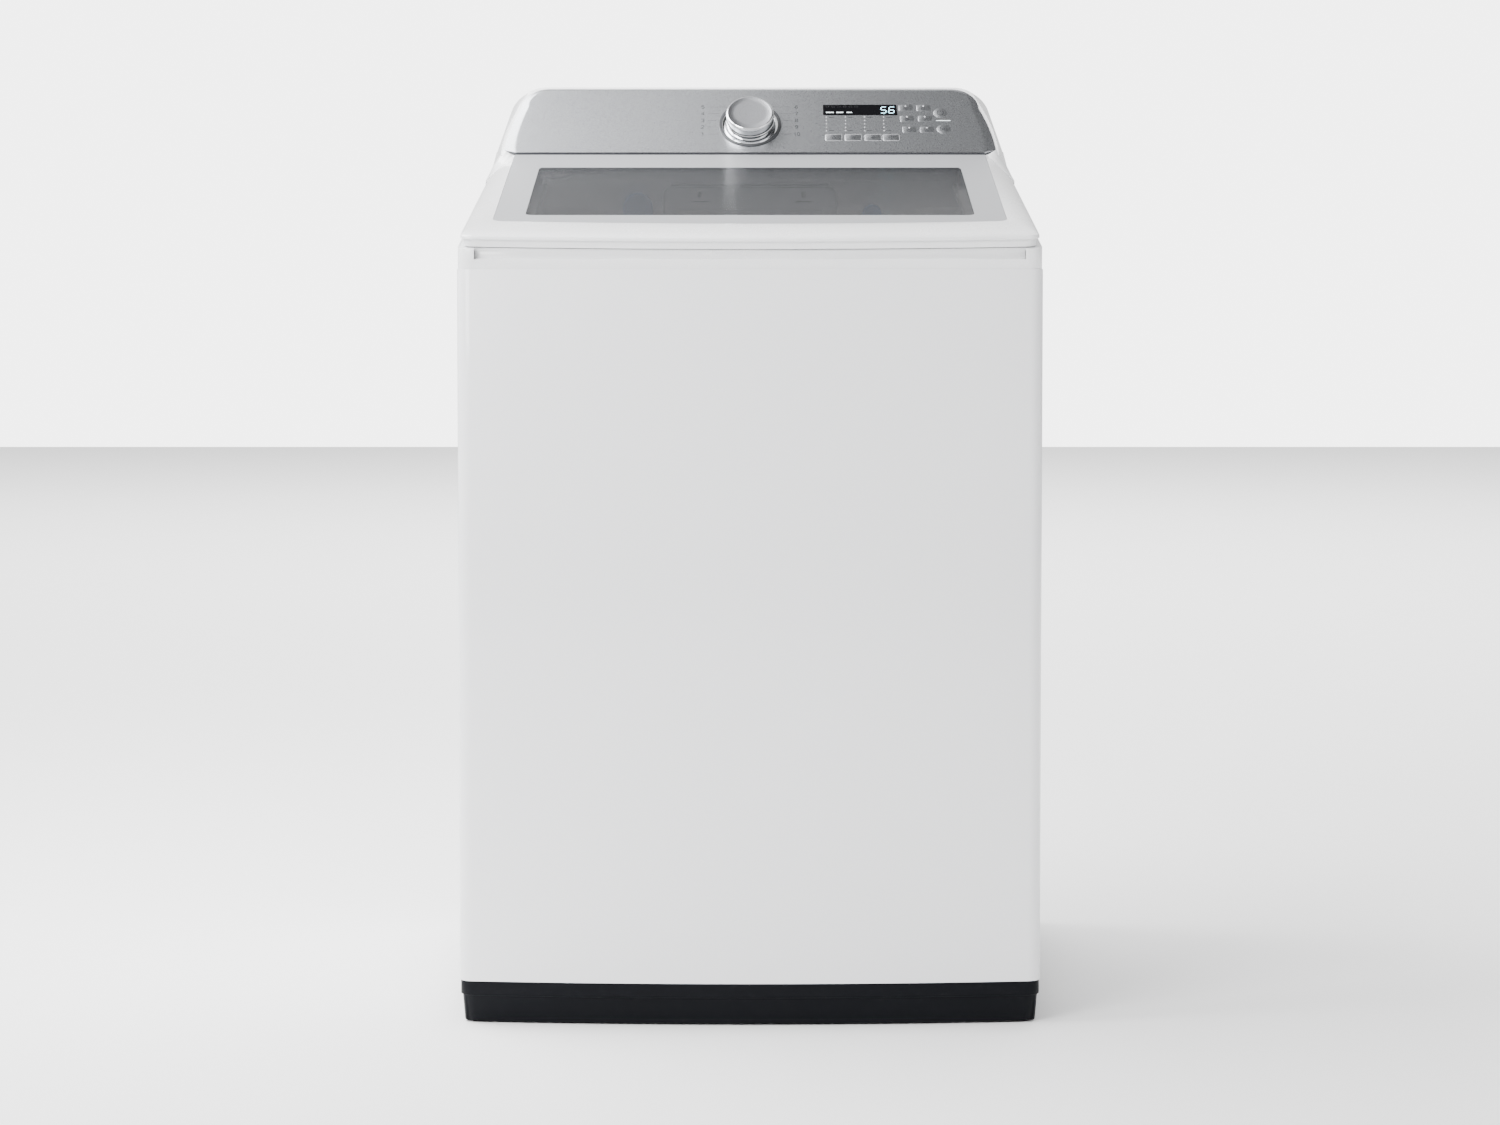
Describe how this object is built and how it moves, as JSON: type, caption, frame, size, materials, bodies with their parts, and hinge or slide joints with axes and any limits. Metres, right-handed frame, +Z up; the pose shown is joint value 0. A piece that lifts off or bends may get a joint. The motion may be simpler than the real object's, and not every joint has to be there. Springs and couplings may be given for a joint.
{
  "type": "top load washing machine",
  "caption": "White top load washing machine with a bowed cabinet, hinged glass lid, sloping grey control panel with a rotary knob, and a suspended tub with a spinning steel basket inside.",
  "frame": {"origin": "centre of the overall box at floor level", "axes": "+Z up, -Y out of the front panel, +X to the right as seen from the front"},
  "size_m": [0.686, 0.745, 1.131],
  "materials": {
    "white_enamel": "smooth gloss enamel with a faint orange peel",
    "white_plastic": "smooth semi-gloss moulded plastic",
    "drawer_plastic": "semi-gloss moulded plastic",
    "zinc_sheet": "galvanised sheet with a faint spangle",
    "base_plastic": "satin near-black plastic",
    "foot_rubber": "matt black rubber",
    "lid_glass": "tempered glass, silver-grey printed border round a smoked clear window",
    "shaft_steel": "turned steel",
    "spring_steel": "zinc-plated spring wire",
    "dark_plastic": "fine-textured dark plastic",
    "panel_silver": "fine metallic silver-grey lacquer",
    "display_black": "polished black window",
    "circuit_board": "green solder mask",
    "knob_metal": "spun aluminium cap with a bright turned edge",
    "jet_blue": "translucent blue plastic",
    "tub_plastic": "glass-filled grey plastic",
    "cast_alloy": "as-cast alloy",
    "winding_copper": "varnished copper winding",
    "stainless_drum": "bright brushed stainless steel",
    "pulsator_plastic": "smooth light grey plastic"
  },
  "bodies": {
    "machine": {"cabinet": "white_enamel", "rear_panel": "zinc_sheet", "base_frame": "base_plastic", "top_cover": "white_plastic", "hinge_brackets": "zinc_sheet", "lid_lock": "dark_plastic", "control_housing": "white_plastic", "control_panel": "panel_silver", "display_window": "display_black", "control_board": "circuit_board", "knob_ring": "dark_plastic", "dispenser_housing": "white_plastic", "water_jet_nozzle": "jet_blue", "suspension_rods": "shaft_steel", "suspension_springs": "spring_steel", "drain_pump": "dark_plastic", "inlet_valve": "white_plastic", "cord_gland": "foot_rubber", "screws": "zinc_sheet"},
    "lid": {"lid_frame": "white_plastic", "lid_inner_frame": "white_plastic", "lid_strike": "white_plastic", "lid_glass": "lid_glass", "hinge_pins": "shaft_steel", "lid_bumpers": "foot_rubber"},
    "bolt": {"lock_bolt": "shaft_steel"},
    "knob": {"knob": "knob_metal"},
    "drawer": {"dispenser_drawer": "drawer_plastic"},
    "jet_button": {"water_jet_button": "jet_blue"},
    "tub": {"outer_tub": "tub_plastic", "tub_cover": "tub_plastic", "bearing_housing": "cast_alloy", "bearings": "shaft_steel", "shaft_seal": "foot_rubber", "stator": "winding_copper"},
    "drum": {"basket": "stainless_drum", "basket_hub": "cast_alloy", "balance_ring": "tub_plastic", "spin_shaft": "shaft_steel"},
    "agitator": {"pulsator": "pulsator_plastic", "wash_shaft": "shaft_steel", "rotor": "cast_alloy"},
    "clutch": {"clutch_coupler": "dark_plastic"},
    "impeller": {"pump_impeller": "dark_plastic"},
    "setting_button_1": {"setting_button_1": "panel_silver"},
    "setting_button_2": {"setting_button_2": "panel_silver"},
    "setting_button_3": {"setting_button_3": "panel_silver"},
    "setting_button_4": {"setting_button_4": "panel_silver"},
    "option_button_1": {"option_button_1": "panel_silver"},
    "option_button_2": {"option_button_2": "panel_silver"},
    "option_button_3": {"option_button_3": "panel_silver"},
    "option_button_4": {"option_button_4": "panel_silver"},
    "option_button_5": {"option_button_5": "panel_silver"},
    "option_button_6": {"option_button_6": "panel_silver"},
    "power_button": {"power_button": "panel_silver"},
    "start_button": {"start_button": "panel_silver"},
    "foot_front_left": {"foot_front_left": "foot_rubber"},
    "foot_front_right": {"foot_front_right": "foot_rubber"},
    "foot_rear_left": {"foot_rear_left": "foot_rubber"},
    "foot_rear_right": {"foot_rear_right": "foot_rubber"}
  },
  "joints": [
    {"name": "lid_hinge", "type": "hinge", "parent": "machine", "child": "lid", "pos_m": [0, 0.1395, 1.012], "axis": [-1, 0, 0], "range_deg": [0, 102]},
    {"name": "lock_bolt_slide", "type": "slide", "parent": "machine", "child": "bolt", "axis": [-1, 0, 0], "range_m": [0, 0.01]},
    {"name": "knob_turn", "type": "hinge", "parent": "machine", "child": "knob", "pos_m": [0, 0.20636, 1.0769], "axis": [0, -0.7254, 0.6884], "continuous": true},
    {"name": "drawer_slide", "type": "slide", "parent": "machine", "child": "drawer", "axis": [0, -1, 0], "range_m": [0, 0.11]},
    {"name": "jet_button_press", "type": "slide", "parent": "machine", "child": "jet_button", "axis": [0, 1, 0], "range_m": [0, 0.003], "stiffness_N_per_m": 500},
    {"name": "tub_bounce", "type": "slide", "parent": "machine", "child": "tub", "axis": [0, 0, 1], "range_m": [-0.03, 0.008], "stiffness_N_per_m": 20000, "springref_m": 0.0159, "deforming": ["suspension_springs"]},
    {"name": "drum_spin", "type": "hinge", "parent": "tub", "child": "drum", "pos_m": [0, -0.0225, 0.3], "axis": [0, 0, 1], "continuous": true},
    {"name": "agitator_spin", "type": "hinge", "parent": "tub", "child": "agitator", "pos_m": [0, -0.0225, 0.3], "axis": [0, 0, 1], "continuous": true},
    {"name": "clutch_shift", "type": "slide", "parent": "tub", "child": "clutch", "axis": [0, 0, 1], "range_m": [0, 0.008]},
    {"name": "impeller_spin", "type": "hinge", "parent": "machine", "child": "impeller", "pos_m": [-0.18, 0.2475, 0.08], "axis": [0, 0, 1], "continuous": true},
    {"name": "setting_button_1_press", "type": "slide", "parent": "machine", "child": "setting_button_1", "axis": [0, 0.7254, -0.6884], "range_m": [0, 0.001], "stiffness_N_per_m": 600},
    {"name": "setting_button_2_press", "type": "slide", "parent": "machine", "child": "setting_button_2", "axis": [0, 0.7254, -0.6884], "range_m": [0, 0.001], "stiffness_N_per_m": 600},
    {"name": "setting_button_3_press", "type": "slide", "parent": "machine", "child": "setting_button_3", "axis": [0, 0.7254, -0.6884], "range_m": [0, 0.001], "stiffness_N_per_m": 600},
    {"name": "setting_button_4_press", "type": "slide", "parent": "machine", "child": "setting_button_4", "axis": [0, 0.7254, -0.6884], "range_m": [0, 0.001], "stiffness_N_per_m": 600},
    {"name": "option_button_1_press", "type": "slide", "parent": "machine", "child": "option_button_1", "axis": [0, 0.7254, -0.6884], "range_m": [0, 0.001], "stiffness_N_per_m": 600},
    {"name": "option_button_2_press", "type": "slide", "parent": "machine", "child": "option_button_2", "axis": [0, 0.7254, -0.6884], "range_m": [0, 0.001], "stiffness_N_per_m": 600},
    {"name": "option_button_3_press", "type": "slide", "parent": "machine", "child": "option_button_3", "axis": [0, 0.7254, -0.6884], "range_m": [0, 0.001], "stiffness_N_per_m": 600},
    {"name": "option_button_4_press", "type": "slide", "parent": "machine", "child": "option_button_4", "axis": [0, 0.7254, -0.6884], "range_m": [0, 0.001], "stiffness_N_per_m": 600},
    {"name": "option_button_5_press", "type": "slide", "parent": "machine", "child": "option_button_5", "axis": [0, 0.7254, -0.6884], "range_m": [0, 0.001], "stiffness_N_per_m": 600},
    {"name": "option_button_6_press", "type": "slide", "parent": "machine", "child": "option_button_6", "axis": [0, 0.7254, -0.6884], "range_m": [0, 0.001], "stiffness_N_per_m": 600},
    {"name": "power_button_press", "type": "slide", "parent": "machine", "child": "power_button", "axis": [0, 0.7254, -0.6884], "range_m": [0, 0.001], "stiffness_N_per_m": 600},
    {"name": "start_button_press", "type": "slide", "parent": "machine", "child": "start_button", "axis": [0, 0.7254, -0.6884], "range_m": [0, 0.001], "stiffness_N_per_m": 600},
    {"name": "foot_front_left_screw", "type": "slide", "parent": "machine", "child": "foot_front_left", "axis": [0, 0, -1], "range_m": [0, 0.012]},
    {"name": "foot_front_right_screw", "type": "slide", "parent": "machine", "child": "foot_front_right", "axis": [0, 0, -1], "range_m": [0, 0.012]},
    {"name": "foot_rear_left_screw", "type": "slide", "parent": "machine", "child": "foot_rear_left", "axis": [0, 0, -1], "range_m": [0, 0.012]},
    {"name": "foot_rear_right_screw", "type": "slide", "parent": "machine", "child": "foot_rear_right", "axis": [0, 0, -1], "range_m": [0, 0.012]}
  ]
}
